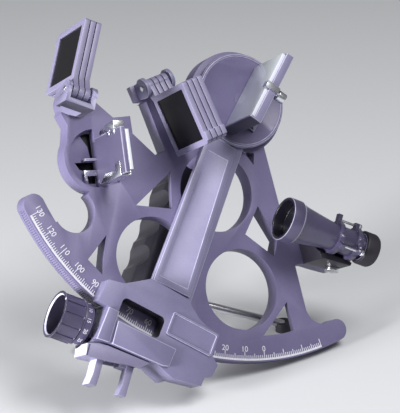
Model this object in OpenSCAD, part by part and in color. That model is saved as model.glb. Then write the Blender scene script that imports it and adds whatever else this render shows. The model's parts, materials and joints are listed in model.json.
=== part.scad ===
// Mariner's sextant, standing on its limb and leaning back on two rest legs.
// Every piece is drawn in the instrument's own plane: x to the right, y up from the
// index arm's pivot, z towards the observer. stand() then leans it back on the ground.

/* [Stand] */
// Lean of the instrument back from upright, degrees
lean = 30; // [26:1:34]
// Turn of the frame in its own plane, degrees
turn = 6.5; // [5:0.5:8]
// Sideways place of the pivot, which centres the part on its origin
home_x = 66.5; // [40:0.5:80]
// Front to back place of the pivot, which centres the part on its origin
home_y = 21.4; // [0:0.1:40]

/* [Frame] */
// Thickness of the frame moulding
frame_t = 12; // [10:0.5:14]
// Thickness of the frame's front skin
frame_skin = 4; // [3:0.5:6]
// Thickness of the frame's side walls
frame_wall = 3; // [2.5:0.5:4]
// Outer radius of the limb
limb_outer = 183; // [181:0.5:186]
// Width of the limb
limb_w = 15; // [13:0.5:17]
// Left end of the limb, degrees left of straight down
limb_left = 73.6; // [72:0.2:75]
// Right end of the limb, degrees right of straight down
limb_right = 13.8; // [12:0.2:15]
// Radius of the pivot boss
boss_r = 37; // [36:0.5:38]
// Radius of the three large round openings
hole_r = 28.2; // [26:0.2:28.6]
// Distance between the centres of the three large openings
hole_pitch = 69.7; // [68:0.1:72]
// Distance from the pivot to the upper large opening
hole_first = 67.5; // [66:0.5:70]
// Direction of the line of symmetry of the openings, degrees left of down
hole_axis = 27.4; // [26:0.2:29]

/* [Scale] */
// Direction of the scale's zero, degrees left of down
zero_angle = 6.9; // [6:0.1:8]
// Highest reading on the scale
scale_max = 130; // [110:5:130]
// Lowest reading on the scale, below zero
scale_min = -30; // [-30:5:-5]
// Height of the scale's lines above the limb
scale_t = 0.2; // [0.15:0.05:0.4]
// Pitch of the rack, degrees
rack_pitch = 0.5; // [0.5:0.5:1]
// Depth of the rack's teeth
rack_depth = 0.9; // [0.6:0.1:1.2]

/* [Index arm] */
// Direction of the index arm, degrees left of down
arm_angle = 34.2; // [33:0.2:36]
// Gap between the frame's face and the arm
arm_gap = 1.2; // [1:0.1:1.6]
// Width of the arm's flange
arm_w = 29.8; // [28:0.2:31]
// Thickness of the arm's flange
arm_t = 3.2; // [2.5:0.1:3.6]
// Thickness of the raised panel on the arm
panel_t = 3.2; // [2.5:0.1:3.6]
// Radius of the index disc
disc_r = 34; // [33:0.5:35]
// Radius of the pivot shaft
shaft_r = 5; // [4:0.25:6]
// Radial running clearance of shafts and pins
run_gap = 0.05; // [0.03:0.01:0.08]

/* [Mirrors] */
// Height of the optical axis above the frame's face
optic_h = 30; // [29:0.5:31]
// Direction of the index mirror's plane at this setting
index_mirror_angle = 48; // [45:1:52]
// Length of the index mirror
index_mirror_l = 53; // [50:1:55]
// Height of the index mirror
index_mirror_h = 38; // [34:1:39]
// Direction of the horizon mirror's plane
horizon_mirror_angle = 85; // [83:1:87]
// Length of the horizon mirror
horizon_mirror_l = 27; // [25:1:28]
// Height of the horizon mirror
horizon_mirror_h = 34; // [31:1:35]
// Thickness of both mirror glasses
mirror_t = 2.6; // [2:0.2:3]
// Thickness of both mirror holders' back plates
holder_t = 3.4; // [3:0.2:4]
// Radius of the recess behind the horizon mirror
recess_r = 20; // [19:0.2:20.4]

/* [Shades] */
// Side of a shade's square frame
shade_side = 44; // [42:0.5:44]
// Thickness of a shade's frame
shade_t = 3.4; // [3:0.1:3.6]
// Step from one shade to the next
shade_pitch = 4.2; // [4.1:0.05:4.4]
// Width of the rim round a shade's glass
shade_rim = 4; // [3.5:0.25:5]
// Distance from the hinge pin to a shade's near edge
shade_reach = 8; // [7.5:0.25:9]
// Radius of a shade's knuckle
knuckle_r = 5; // [4.5:0.1:5.2]
// Radius of the shades' hinge pins
shade_pin_r = 1.8; // [1.5:0.1:2.2]

/* [Telescope] */
// Direction of the telescope, degrees below horizontal
scope_angle = 27; // [26:0.5:28]
// Outer radius at the objective
scope_front_r = 15.4; // [15:0.1:16]
// Radius of the tube at its narrow end
scope_tube_r = 9.6; // [9:0.1:10]
// Wall of the telescope tube
scope_wall = 1.8; // [1.5:0.1:2.2]
// Length of the telescope body
scope_l = 60; // [58:0.5:62]
// Outer radius of the eyecup
eyecup_r = 12; // [11.6:0.1:12.6]
// Length of the eyecup
eyecup_l = 11; // [10:0.5:14]
// Focusing travel of the eyepiece
focus_travel = 2; // [2:0.5:4]

/* [Micrometer] */
// Direction of the point where the worm meets the rack, degrees left of down
worm_angle = 29.2; // [28.4:0.2:30]
// Outer radius of the worm
worm_r = 4.8; // [4.4:0.1:5]
// Gap between the worm and the rack's teeth
worm_gap = 0.3; // [0.25:0.05:0.4]
// Radius of the micrometer drum
drum_r = 15.6; // [14.8:0.1:15.8]
// Length of the drum's grip
drum_l = 15; // [13:0.5:16]
// Wall of the housing
housing_wall = 3; // [2.4:0.2:3.4]
// Height of the housing's front face
housing_h = 13; // [12:0.5:14]
// Length of the squeeze prongs
prong_l = 18; // [16:0.5:20]

/* [Handle] */
// Depth of the handle's axis behind the frame's face
handle_depth = 60; // [56:1:64]
// Length of the handle
handle_l = 112; // [104:1:116]
// Width of the handle
handle_w = 27; // [24:0.5:30]
// Radius of the two handle posts
post_r = 6; // [5:0.25:7]
// Radius of the rest legs
leg_r = 2.8; // [2.4:0.1:3.4]
// Radius of the rest feet
foot_r = 6; // [5:0.25:8]
// Height of the rest feet
foot_h = 7; // [6:0.5:9]

/* [Hidden] */
$fn = 96;

eps = 0.01;
plastic = [0.50, 0.47, 0.60];
plastic_light = [0.62, 0.60, 0.72];
plastic_dark = [0.16, 0.15, 0.19];
black_glass = [0.10, 0.10, 0.11, 0.9];
clear_glass = [0.72, 0.80, 0.86, 0.6];
mirror_tone = [0.80, 0.84, 0.90];
steel = [0.80, 0.80, 0.82];
brass = [0.72, 0.60, 0.34];
black = [0.07, 0.07, 0.08];
white = [0.92, 0.92, 0.94];

limb_inner = limb_outer - limb_w;
limb_mid = (limb_outer + limb_inner) / 2;
arm_base = arm_gap;
panel_base = arm_base + arm_t;
panel_top = panel_base + panel_t;
lobe = [-116.7, -24.8];
lobe_r = recess_r + frame_wall + 0.5;
recess_t = 5.5;
pocket_y = holder_t + 0.4;

// Point at an angle left of straight down and a radius from the pivot
function polar(angle, radius) = [-radius * sin(angle), -radius * cos(angle)];
// Point at a distance along one direction and a distance along another
function along(origin, dir_a, a, dir_b, b) = [
    origin[0] + dir_a[0] * a + dir_b[0] * b,
    origin[1] + dir_a[1] * a + dir_b[1] * b
];
function unit(v) = v / norm(v);
// Corner of an outline whose two edges are moved inwards by d
function inset_corner(a, b, c, d) =
    let (u = unit(b - a), w = unit(c - b),
         n1 = [-u[1], u[0]], n2 = [-w[1], w[0]],
         k = 1 + n1 * n2)
    b + (n1 + n2) * (d / k);
// Outline drawn counter-clockwise, with every edge moved inwards by d
function inset(p, d) = [for (i = [0 : len(p) - 1])
    inset_corner(p[(i + len(p) - 1) % len(p)], p[i], p[(i + 1) % len(p)], d)];

// Place of the openings' centres
hole_1 = polar(hole_axis, hole_first);
hole_span = hole_pitch * cos(30);
hole_low = polar(hole_axis, hole_first + hole_span);
hole_side = [cos(hole_axis), -sin(hole_axis)] * (hole_pitch / 2);
hole_2 = hole_low + hole_side;
hole_3 = hole_low - hole_side;
web_centre = polar(hole_axis, hole_first + hole_pitch / sqrt(3));

// Ground: where the limb's rear edge touches it
ground = limb_outer * cos(lean) + frame_t * sin(lean);
function on_plane(p) = [
    p[0] * cos(turn) + p[1] * sin(turn),
    -p[0] * sin(turn) + p[1] * cos(turn),
    p[2]
];
function to_world(p) = let (q = on_plane(p)) [
    q[0] + home_x,
    q[1] * sin(lean) - q[2] * cos(lean) + home_y,
    q[1] * cos(lean) + q[2] * sin(lean) + ground
];
module stand() {
    translate([home_x, home_y, ground])
        rotate([90 - lean, 0, 0])
            rotate([0, 0, -turn])
                children();
}
// Frame at an angle left of down: x along the limb to the right, y towards the pivot
module at_angle(angle) {
    rotate([0, 0, -angle]) children();
}
module slab(low, high) {
    translate([0, 0, low]) linear_extrude(high - low) children();
}
module rod(p, q, r) {
    d = q - p;
    translate(p)
        rotate([0, acos(d[2] / norm(d)), atan2(d[1], d[0])])
            cylinder(h = norm(d), r = r, $fn = 48);
}
module rounded_box(size, r) {
    linear_extrude(size[2])
        rounded_rect([size[0], size[1]], r);
}
// Rectangle from the origin with round corners
module rounded_rect(size, r) {
    union() {
        translate([r, 0]) square([size[0] - 2 * r, size[1]]);
        translate([0, r]) square([size[0], size[1] - 2 * r]);
        for (x = [r, size[0] - r], y = [r, size[1] - r])
            translate([x, y]) circle(r, $fn = 32);
    }
}

// Frame outline
strut_x = 19.8;
fillet_r = 13.2;
fillet = [strut_x + fillet_r, -sqrt(pow(limb_inner - fillet_r, 2) - pow(strut_x + fillet_r, 2))];
bite = [-140.5, -57.5];
bite_r = 15;
pad = [-124.3, 14];
pad_r = 10.4;
body_outline = [
    [0, 0], [-40, -4], [-64, -26], [-72, -28.7], [-85.9, -11.7], [-85, 0.6], [-98, 1],
    lobe, [-125.6, -46], bite, polar(68, limb_mid), polar(60, limb_mid), polar(50, limb_mid),
    polar(40, limb_mid), polar(30, limb_mid), polar(20, limb_mid), polar(10, limb_mid),
    polar(2, limb_mid), polar(-7, limb_mid), [strut_x, fillet[1]], [19, -123], [16.5, -69],
    [14.6, -28]
];
neck_outline = [
    lobe + [10, 0], [-98, 1], [-110.9, 15.5], [-121, 22.5], [-130.4, 19.8], [-135.6, 8],
    [-132.6, 0], lobe - [lobe_r - 0.5, 0]
];
light_dir = [0.975, 0.224];
light_up = [-0.224, 0.975];
function on_light(l, v) = along([0, 0], light_dir, l, light_up, v);
shade_arm_outline = [
    on_light(-68.5, -14), on_light(-30, -6), on_light(-30, 20), on_light(-45.5, 30),
    on_light(-45.5, 38), on_light(-74, 38), on_light(-74, 27), on_light(-66.5, 24.5)
];
shade_seat_outline = [
    on_light(-74, 27), on_light(-66.5, 26), on_light(-45.5, 30), on_light(-45.5, 38), on_light(-74, 38)
];
seat_t = 5;
seat_notch_outline = [
    on_light(-80, 25), on_light(-67, 25), on_light(-56, 28), on_light(-56, 45), on_light(-80, 45)
];
cradle_foot = [38.8, -125];
cradle_corner = [48.5, -129];
scope_arm_outline = [
    [12, -88], [12, -119], [19, -119.8], [28.8, -120.6], cradle_foot, cradle_corner, [57, -118],
    [57, -107.8], [39.2, -96.5], [24.3, -90.7]
];
cradle_outline = [
    [26, -94], [26, -120.4], [28.8, -120.6], cradle_foot, cradle_corner, [57, -118],
    [57, -107.8], [39.2, -96.5], [28, -92.5]
];
triangle_top = [[-3, -34.8], [3.3, -45.5], [5.6, -37.2]];
triangle_mid = [[-0.6, -74.6], [-15.6, -92.6], [3.6, -111.6], [9.5, -100]];
triangle_low = [[5.7, -144.3], [6.3, -164.9], [-1, -165.3], [-19, -164.2]];
triangle_left = [[-121.4, -77], [-138.5, -91], [-130.4, -102.6]];
triangle_up = [[-94.8, -60.4], [-63.2, -41.2], [-68.3, -66.8]];

module wedge(from, to) {
    big = 2 * limb_outer;
    polygon([[0, 0], for (a = [from : (to - from) / 6 : to + eps]) polar(a, big)]);
}
module limb_2d(d) {
    intersection() {
        difference() {
            circle(limb_outer - d, $fn = 180);
            circle(limb_inner + d, $fn = 180);
        }
        wedge(-limb_right, limb_left);
    }
    for (a = [-limb_right, limb_left])
        translate(polar(a, limb_mid)) circle(limb_w / 2 - d);
}
module frame_2d(d) {
    difference() {
        union() {
            limb_2d(d);
            circle(boss_r - d);
            polygon(inset(body_outline, d));
            polygon(inset(neck_outline, d));
            polygon(inset(shade_arm_outline, d));
            polygon(inset(scope_arm_outline, d));
            translate(lobe) circle(lobe_r - d);
            translate(pad) circle(pad_r - d);
            difference() {
                polygon([[strut_x - 4, fillet[1]], [fillet[0], fillet[1]],
                         polar(-12.5, limb_mid), polar(-5, limb_mid)]);
                translate(fillet) circle(fillet_r + d);
            }
        }
        translate(bite) circle(bite_r + d);
        for (c = [hole_1, hole_2, hole_3])
            translate(c) circle(hole_r + d);
        for (t = [triangle_top, triangle_mid, triangle_low, triangle_left, triangle_up])
            polygon(inset(t, -d));
        circle(8 + d);
    }
}

module horizon_place() {
    translate([horizon_centre[0], horizon_centre[1], 0])
        rotate([0, 0, horizon_mirror_angle]) children();
}
module frame() color(plastic) stand() {
    difference() {
        union() {
            difference() {
                slab(-frame_t, 0) frame_2d(0);
                slab(-frame_t - eps, -frame_skin) frame_2d(frame_wall);
            }
            // Solid lobe, which the recess is sunk into
            translate([lobe[0], lobe[1], -frame_t]) cylinder(h = frame_t, r = lobe_r - 0.5);
            // Solid seats for the shade brackets, the posts and the telescope's cradle
            translate([pad[0], pad[1], -frame_t]) cylinder(h = frame_t, r = pad_r);
            slab(-frame_t, 0) polygon(shade_seat_outline);
            for (p = [upper_post, web_centre])
                translate([p[0], p[1], -frame_t]) cylinder(h = frame_t, r = post_r + 3);
            slab(-frame_t, 0) polygon(cradle_outline);
        }
        // D-shaped recess behind the horizon mirror, with two deeper pockets
        intersection() {
            translate([lobe[0], lobe[1], -recess_t]) cylinder(h = frame_t, r = recess_r);
            horizon_place() translate([-40, holder_t, -frame_t]) cube([80, 40, 2 * frame_t]);
        }
        intersection() {
            translate([lobe[0], lobe[1], -frame_t + 2.4]) cylinder(h = frame_t, r = recess_r - 1.6);
            horizon_place() {
                slab(-frame_t, frame_t)
                    polygon([[2.9, pocket_y], [2.9, 5.4], [11.3, 6.4], [19.8, 11.9], [20.5, pocket_y]]);
                slab(-frame_t, frame_t)
                    polygon([[0.5, pocket_y], [0.8, 17.5], [-4, 14.5], [-6, 9], [-14, 9], [-14, pocket_y]]);
            }
        }
        // Groove under the plate's lower end
        horizon_place() slab(-2, 1)
            polygon([[-16.8, 4.6], [-17.6, 0.2], [-15, -12], [-13, -12], [-14.6, 4.6]]);
        horizon_place() holder_foot(0.02);
        // Thin plate under the index shades' seat
        slab(-frame_t - eps, -seat_t) polygon(seat_notch_outline);
        // Face of the limb stays clear of the rack's groove
        difference() {
            slab(-frame_t + 3, -3) circle(limb_outer + 1, $fn = 180);
            slab(-frame_t, 0) circle(limb_outer - 1.2, $fn = 180);
            slab(-frame_t, 0) polygon([[0, 0], polar(limb_left, 400), [-500, 0], [-500, 500], [500, 500],
                                       [500, 0], polar(-limb_right, 400)]);
        }
    }
}

rack_r = limb_outer - 1.2;
rack_tip = limb_outer + 0.4;
module arc_rack() color(plastic_light) stand() {
    teeth = floor((limb_left + limb_right) / rack_pitch);
    slab(-frame_t + 3.1, -3.1)
        polygon([
            for (i = [0 : teeth])
                polar(limb_left - i * rack_pitch, rack_r + 0.02),
            for (i = [teeth : -1 : 1], k = [0, 0.5])
                polar(limb_left - (i - k) * rack_pitch, rack_tip - (k == 0 ? rack_depth : 0)),
            polar(limb_left, rack_tip - rack_depth)
        ]);
}

tick_w = 0.5;
module scale_tick(reading, length) {
    at_angle(zero_angle + reading / 2)
        translate([-tick_w / 2, -(limb_outer - 1.6)]) square([tick_w, length]);
}
module arc_scale() color(white) stand() {
    slab(0, scale_t) {
        intersection() {
            difference() {
                circle(limb_outer - 1, $fn = 180);
                circle(limb_outer - 2.4, $fn = 180);
            }
            wedge(zero_angle + scale_min / 2 - 0.1, zero_angle + scale_max / 2 + 0.1);
        }
        for (r = [scale_min : 1 : scale_max])
            scale_tick(r, r % 10 == 0 ? 5.6 : (r % 5 == 0 ? 4.2 : 3));
    }
}

module pivot_bush() color(brass) stand() {
    difference() {
        slab(-frame_t, 0) circle(8);
        slab(-frame_t - 1, 1) circle(shaft_r + run_gap);
    }
}

// Handle
handle_dir = [sin(arm_angle), cos(arm_angle)];
handle_side = [cos(arm_angle), -sin(arm_angle)];
handle_foot = [-75.9, -117.6];
upper_post = along(handle_foot, handle_dir, handle_l - 9, handle_side, -3);
module handle_posts() color(plastic_dark) stand() {
    for (p = [upper_post, web_centre])
        translate([p[0], p[1], -handle_depth + handle_w / 2 - 4])
            cylinder(h = handle_depth - handle_w / 2 + 4 - frame_t, r = post_r, $fn = 48);
}
module handle_grip() color(black) stand() {
    difference() {
        translate([handle_foot[0], handle_foot[1], -handle_depth])
            rotate([0, 0, -arm_angle])
                rotate([-90, 0, 0])
                    linear_extrude(handle_l)
                        grip_section();
        // Four finger grooves across the far left side of the grip
        for (i = [0 : 3])
            translate([
                handle_foot[0] + handle_dir[0] * (24 + i * 22) - handle_side[0] * (handle_w / 2 + 6.5),
                handle_foot[1] + handle_dir[1] * (24 + i * 22) - handle_side[1] * (handle_w / 2 + 6.5),
                -handle_depth - 30])
                cylinder(h = 60, r = 10.5, $fn = 48);
        for (p = [upper_post, web_centre])
            translate([p[0], p[1], -handle_depth + handle_w / 2 - 4])
                cylinder(h = 40, r = post_r, $fn = 48);
        leg_rod(left_foot);
        leg_rod(right_foot);
    }
}
module grip_section() {
    r = 9;
    translate([-handle_w / 2, -18]) rounded_rect([handle_w, 36], r);
}

// Rest legs, which run from the foot of the handle to the ground
left_foot_x = -126;
left_foot_depth = 93;
right_foot_x = 7;
right_foot_depth = 42;
// Point of the instrument's plane that lies a height above the ground
function above_ground(x, depth, up) =
    let (y = (up - ground + depth * sin(lean)) / cos(lean))
    [x * cos(turn) - y * sin(turn), x * sin(turn) + y * cos(turn), -depth];
left_foot = above_ground(left_foot_x, left_foot_depth, foot_h - 2);
right_foot = above_ground(right_foot_x, right_foot_depth, foot_h - 2);
leg_root = [handle_foot[0] + handle_dir[0] * 6, handle_foot[1] + handle_dir[1] * 6, -handle_depth];
module leg_rod(foot) {
    side = foot == left_foot ? -5 : 5;
    root = [leg_root[0] + handle_side[0] * side, leg_root[1] + handle_side[1] * side, leg_root[2]];
    rod(root, foot, leg_r);
}
module rest_leg_left() color(steel) stand() leg_rod(left_foot);
module rest_leg_right() color(steel) stand() leg_rod(right_foot);
module rest_feet() color(black) {
    for (p = [left_foot, right_foot]) {
        w = to_world(p);
        difference() {
            translate([w[0], w[1], 0]) cylinder(h = foot_h, r = foot_r, $fn = 48);
            stand() leg_rod(p);
        }
    }
}

// Telescope
scope_origin = [-0.8, -88.6, optic_h - 1];
module scope_frame() {
    stand() translate(scope_origin) rotate([0, 0, -scope_angle]) children();
}
module along_scope() {
    scope_frame() rotate([0, 90, 0]) children();
}
hood_l = 9;
hood_bore_r = scope_front_r - 2.2;
lens_s = 8;
lens_t = 3.4;
lens_r = scope_front_r - 3;
cone_end = 40;
collar_s = cone_end + 1;
module telescope_body() color(plastic_dark) along_scope() {
    rotate_extrude() polygon([
        [hood_bore_r, 0], [scope_front_r, 0], [scope_front_r, hood_l],
        [scope_front_r - 1, hood_l + 1.5], [scope_front_r - 2.2, hood_l + 6],
        [(scope_front_r + scope_tube_r) / 2 - 1.3, 28], [scope_tube_r, cone_end],
        [scope_tube_r, scope_l], [scope_tube_r - scope_wall, scope_l],
        [scope_tube_r - scope_wall, cone_end + 2], [scope_tube_r, cone_end - 8],
        [lens_r, lens_s + lens_t], [lens_r, lens_s], [hood_bore_r, lens_s]
    ]);
}
module objective_lens() color(clear_glass) along_scope() {
    translate([0, 0, lens_s]) cylinder(h = lens_t, r = lens_r);
}
collar_r = scope_tube_r + 2.2;
collar_t = 3.2;
rear_collar_s = scope_l - collar_t - 1;
adjuster_r = collar_r + 1.4;
lug_angles = [95, 215, 335];
lug_w = 3.6;
module collar_ring(s, lug) {
    translate([0, 0, s]) difference() {
        union() {
            cylinder(h = collar_t, r = collar_r);
            for (a = lug_angles)
                rotate([0, 0, a]) translate([collar_r - 1, -lug_w / 2, 0]) cube([lug, lug_w, collar_t]);
        }
        translate([0, 0, -1]) cylinder(h = collar_t + 2, r = scope_tube_r);
    }
}
module telescope_collar() color(plastic) along_scope() {
    collar_ring(collar_s, 6.2);
    collar_ring(rear_collar_s, 4.2);
}
module collimation_screws() color(steel) along_scope() {
    for (a = lug_angles) rotate([0, 0, a]) {
        translate([adjuster_r, 0, collar_s + collar_t])
            cylinder(h = rear_collar_s - collar_s - collar_t, r = 0.9, $fn = 24);
        translate([adjuster_r, 0, rear_collar_s + collar_t]) cylinder(h = 2, r = 2.2, $fn = 24);
    }
}
eyepiece_r = scope_tube_r - scope_wall - run_gap;
module eyepiece_tube() color(plastic_dark) along_scope() {
    translate([0, 0, scope_l - 12])
        difference() {
            union() {
                cylinder(h = 14 + focus_travel, r = eyepiece_r);
                translate([0, 0, 13.5 + focus_travel]) cylinder(h = 2.5, r = eyepiece_r + 2);
            }
            translate([0, 0, -1]) cylinder(h = 40, r = eyepiece_r - 1.4);
        }
}
cup_s = scope_l + focus_travel + 1.5;
module eyecup() color(black) along_scope() {
    translate([0, 0, cup_s]) rotate_extrude() polygon([
        [eyepiece_r + 2, 0], [eyecup_r - 0.6, 0], [eyecup_r, 0.8], [eyecup_r, eyecup_l - 2],
        [eyecup_r - 1.2, eyecup_l], [eyecup_r - 3, eyecup_l], [eyecup_r - 3.4, eyecup_l - 4],
        [eyepiece_r + 0.4, 6], [eyepiece_r + 0.4, 2.5], [eyepiece_r + 2, 2.5]
    ]);
}
module eye_lens() color(clear_glass) along_scope() {
    translate([0, 0, cup_s - 1.5]) cylinder(h = 2.6, r = eyepiece_r - 1.4);
}
// Dark cradle that stands on the frame's arm and carries the telescope's collars
cradle_h = scope_origin[2] - 5;
clamp_r = 5;
clamp_shank_r = 2;
module telescope_bracket() color(plastic_dark) difference() {
    stand() slab(0, cradle_h) polygon(cradle_outline);
    along_scope() {
        translate([0, 0, 10]) cylinder(h = collar_s - 10.3, r = collar_r + 0.8);
        translate([0, 0, collar_s - 1]) cylinder(h = 60, r = collar_r + 0.02);
        translate([0, 0, scope_l]) cylinder(h = 60, r = eyecup_r + 0.5);
        // Way for the lugs and their adjusting screws
        for (a = lug_angles)
            rotate([0, 0, a]) translate([collar_r - 1, -lug_w / 2 - 0.4, collar_s - 0.4])
                cube([6.6, lug_w + 0.8, 60]);
    }
    stand() at_clamp() translate([0, 0, -8]) cylinder(h = 12, r = clamp_shank_r + 0.02, $fn = 32);
}
// Frame on the cradle's lower face: z outwards from the face
module at_clamp() {
    edge = unit(cradle_corner - cradle_foot);
    place = cradle_foot + edge * 6;
    translate([place[0], place[1], clamp_r + 1.5])
        rotate([0, 0, atan2(edge[1], edge[0])]) rotate([90, 0, 0]) children();
}
module clamp_screw() color(steel) stand() at_clamp() {
    translate([0, 0, -7.5]) cylinder(h = 7.5 + 2.6, r = clamp_shank_r, $fn = 32);
    translate([0, 0, 0.05]) cylinder(h = 2.6, r = clamp_r, $fn = 48);
}

// Horizon mirror
horizon_centre = [-113.5, -27.5];
module horizon_frame() {
    stand() horizon_place() children();
}
module holder_foot(gap) {
    translate([-13 - gap, -mirror_t - 1 - gap, -recess_t - gap])
        cube([27 + 2 * gap, mirror_t + 1 + holder_t + 2 * gap, recess_t + 1]);
}
hm_low = optic_h - horizon_mirror_h / 2 - 8.5;
module horizon_mirror_glass() color(mirror_tone) horizon_frame() {
    translate([-horizon_mirror_l / 2, -mirror_t, hm_low + 1.5])
        cube([horizon_mirror_l, mirror_t, horizon_mirror_h]);
}
module horizon_mirror_holder() color(plastic) horizon_frame() {
    translate([-horizon_mirror_l / 2 - 2, 0, 0])
        cube([horizon_mirror_l + 4, holder_t, hm_low + horizon_mirror_h + 1.5]);
    translate([-horizon_mirror_l / 2 - 2, -mirror_t - 1, 0])
        cube([horizon_mirror_l + 4, mirror_t + 1 + eps, hm_low + 1.5]);
    // Foot sunk into the frame, and the brace behind the plate
    holder_foot(0);
    translate([0.9, holder_t - eps, -recess_t]) cube([1.6, 9, recess_t + 0.5]);
}
// Profile in the mirror's plane, drawn from one depth to another across it
module across(from, to) {
    translate([0, to, 0]) rotate([90, 0, 0]) linear_extrude(to - from) children();
}
module horizon_mirror_clips() color(steel) horizon_frame() {
    end = horizon_mirror_l / 2 + 2;
    front = -mirror_t - 1;
    // Spring block on the plate's upper end
    across(front, holder_t + 0.9)
        polygon([[end, 11], [end + 1.5, 10], [end + 4, 14], [end + 5, 20], [end + 5.4, 33], [end, 33]]);
    for (h = [21, 28.5])
        translate([end - 3, holder_t, h]) cube([3 + eps, 0.9, 4]);
    translate([end - 3, front, 24]) cube([3 + eps, 1, 6]);
    // Clip round the plate's lower end
    across(holder_t, holder_t + 0.9)
        polygon([
            [-end - 0.8, 3.5], [-end, 3.5], [-end + 4.8, 12], [-end + 4.3, 27], [-end + 8.5, 28],
            [-end + 9.5, 31], [-end + 8.9, 34.5], [-end - 0.8, 34.5]
        ]);
    translate([-end - 0.8, front, 8]) cube([0.8, holder_t + 0.9 - front, 26.5]);
    translate([-end - 0.8, front, 10]) cube([3.6, 1, 24.5]);
    // Bent tab in the recess
    translate([-9.2, holder_t, -3]) cube([3.9, 9.6, 1.2]);
    translate([-12.5, holder_t + 7.6, -3]) cube([3.3 + eps, 2, 1.2]);
}

// One shade, drawn at its pin: x along the pin, y from the pin to the glass, z across it
function shade_x(i) = i * shade_pitch;
module shade_profile() {
    difference() {
        union() {
            translate([shade_reach, 0.8]) rounded_rect([shade_side, shade_side], 2);
            circle(knuckle_r);
            polygon([[0, -knuckle_r], [shade_reach + 3, 0.8], [shade_reach + 3, 8], [shade_reach, 6], [1, knuckle_r], [0, 0]]);
            // Finger tab on the far corner
            translate([shade_reach + shade_side - 8, shade_side - 1]) square([6, 3.6]);
        }
        translate([shade_reach + shade_rim, 0.8 + shade_rim])
            square([shade_side - 2 * shade_rim, shade_side - 2 * shade_rim]);
        circle(shade_pin_r + run_gap);
    }
}
module shade_plate() {
    rotate([90, 0, 90]) linear_extrude(shade_t) shade_profile();
}
module shade_glass() {
    rim = shade_rim;
    translate([0.9, shade_reach + rim, 0.8 + rim])
        cube([shade_t - 1.8, shade_side - 2 * rim, shade_side - 2 * rim]);
}

// Index shades, which stand in the light path
index_pin = on_light(-70.6, 33);
index_pin_h = 9;
index_stack = 3 * shade_pitch + shade_t;
module index_hinge() {
    stand() translate([index_pin[0], index_pin[1], index_pin_h])
        rotate([0, 0, atan2(light_dir[1], light_dir[0])]) children();
}
module index_shade(i) {
    index_hinge() translate([shade_x(i) + 3.6, 0, 0]) mirror([0, 1, 0]) children();
}
module ear(width, seat) {
    rotate([90, 0, 90]) linear_extrude(width) difference() {
        union() {
            circle(7);
            polygon([[-seat, -index_pin_h], [-7, 0], [5, 0], [5, -index_pin_h]]);
        }
        circle(shade_pin_r);
    }
}
module index_shade_bracket() color(plastic_light) index_hinge() {
    ear(2.8, 6);
    translate([index_stack + 4.4, 0, 0]) ear(2.8, 6);
}
module index_shade_pin() color(steel) index_hinge() {
    translate([-0.8, 0, 0]) rotate([0, 90, 0]) cylinder(h = index_stack + 8.8, r = shade_pin_r, $fn = 48);
}

// Horizon shades, which are folded out of the line of sight
sight_dir = [-0.903, 0.430];
sight_up = [0.430, 0.903];
horizon_pin = along([0, 0], sight_dir, 146, sight_up, -53);
horizon_pin_h = 51.5;
horizon_first = 4;
horizon_stack = 2 * shade_pitch + shade_t;
ear_t = 2.6;
arm_x = horizon_first + horizon_stack + 1.4;
module horizon_hinge() {
    stand() translate([horizon_pin[0], horizon_pin[1], horizon_pin_h])
        rotate([0, 0, atan2(-sight_dir[1], -sight_dir[0])]) children();
}
module horizon_shade(i) {
    horizon_hinge() translate([shade_x(i) + horizon_first, 0, 0]) mirror([0, 0, 1]) children();
}
module horizon_ear(width) {
    rotate([90, 0, 90]) linear_extrude(width) difference() {
        union() {
            circle(6.4);
            children();
        }
        circle(shade_pin_r);
    }
}
module horizon_shade_bracket() color(plastic_light) {
    horizon_hinge() {
        horizon_ear(ear_t)
            polygon([[-9.4, 6], [-9.4, -10], [-4, -15], [3, -15], [6.4, 0], [3, 6]]);
        // Channel below the knuckles, which joins the ear to the arm
        translate([0, -9.4, -7]) cube([arm_x + 3.3, 3, 13]);
        translate([arm_x, 0, 0]) horizon_ear(3.3)
            polygon([[3.5, -horizon_pin_h], [17, -horizon_pin_h], [17, -horizon_pin_h + 6], [7.5, -22], [6.4, 0],
                     [3, 6], [-9.4, 6], [-9.4, -16], [-3, -35]]);
    }
    stand() translate([pad[0], pad[1], 0]) cylinder(h = 3, r = pad_r - 0.6);
}
module horizon_shade_pin() color(steel) horizon_hinge() {
    translate([-0.8, 0, 0]) rotate([0, 90, 0]) cylinder(h = arm_x + 4.1, r = shade_pin_r, $fn = 48);
}

// Index arm
arm_end = 148;
arm_foot = arm_end + 8;
module index_arm() color(plastic_light) stand() {
    difference() {
        slab(arm_base, panel_base) {
            circle(disc_r - 2);
            at_angle(arm_angle)
                polygon([[-arm_w / 2, -20], [-arm_w / 2, -60], [-17.5, -arm_end], [-17.5, -arm_foot],
                         [arm_w / 2, -arm_foot], [arm_w / 2, -20]]);
        }
        slab(-1, 20) circle(shaft_r);
    }
}
module arm_panel() color(plastic_light) stand() at_angle(arm_angle) {
    difference() {
        slab(panel_base, panel_top)
            polygon([[-arm_w / 2, -disc_r + 1], [-17.5, -arm_end], [11.6, -arm_end], [8.5, -disc_r - 1]]);
        slab(panel_top - 0.5, panel_top + 1)
            polygon([[-11, -46], [-13.6, -arm_end + 5], [8, -arm_end + 5], [5.4, -46]]);
        slab(0, 20) circle(disc_r + 0.05);
    }
}
module index_disc() color(plastic) stand() {
    translate([0, 0, panel_base]) rotate_extrude() polygon([
        [shaft_r, 0], [disc_r, 0], [disc_r, panel_t - 0.2], [disc_r - 1, panel_t + 0.8],
        [disc_r - 2.4, panel_t + 0.8], [disc_r - 2.8, panel_t + 0.3], [shaft_r, panel_t + 0.3]
    ]);
}
disc_top = panel_base + panel_t + 0.3;
module pivot_shaft() color(steel) stand() {
    slab(-frame_t - 3.2, disc_top) circle(shaft_r, $fn = 64);
}
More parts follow.
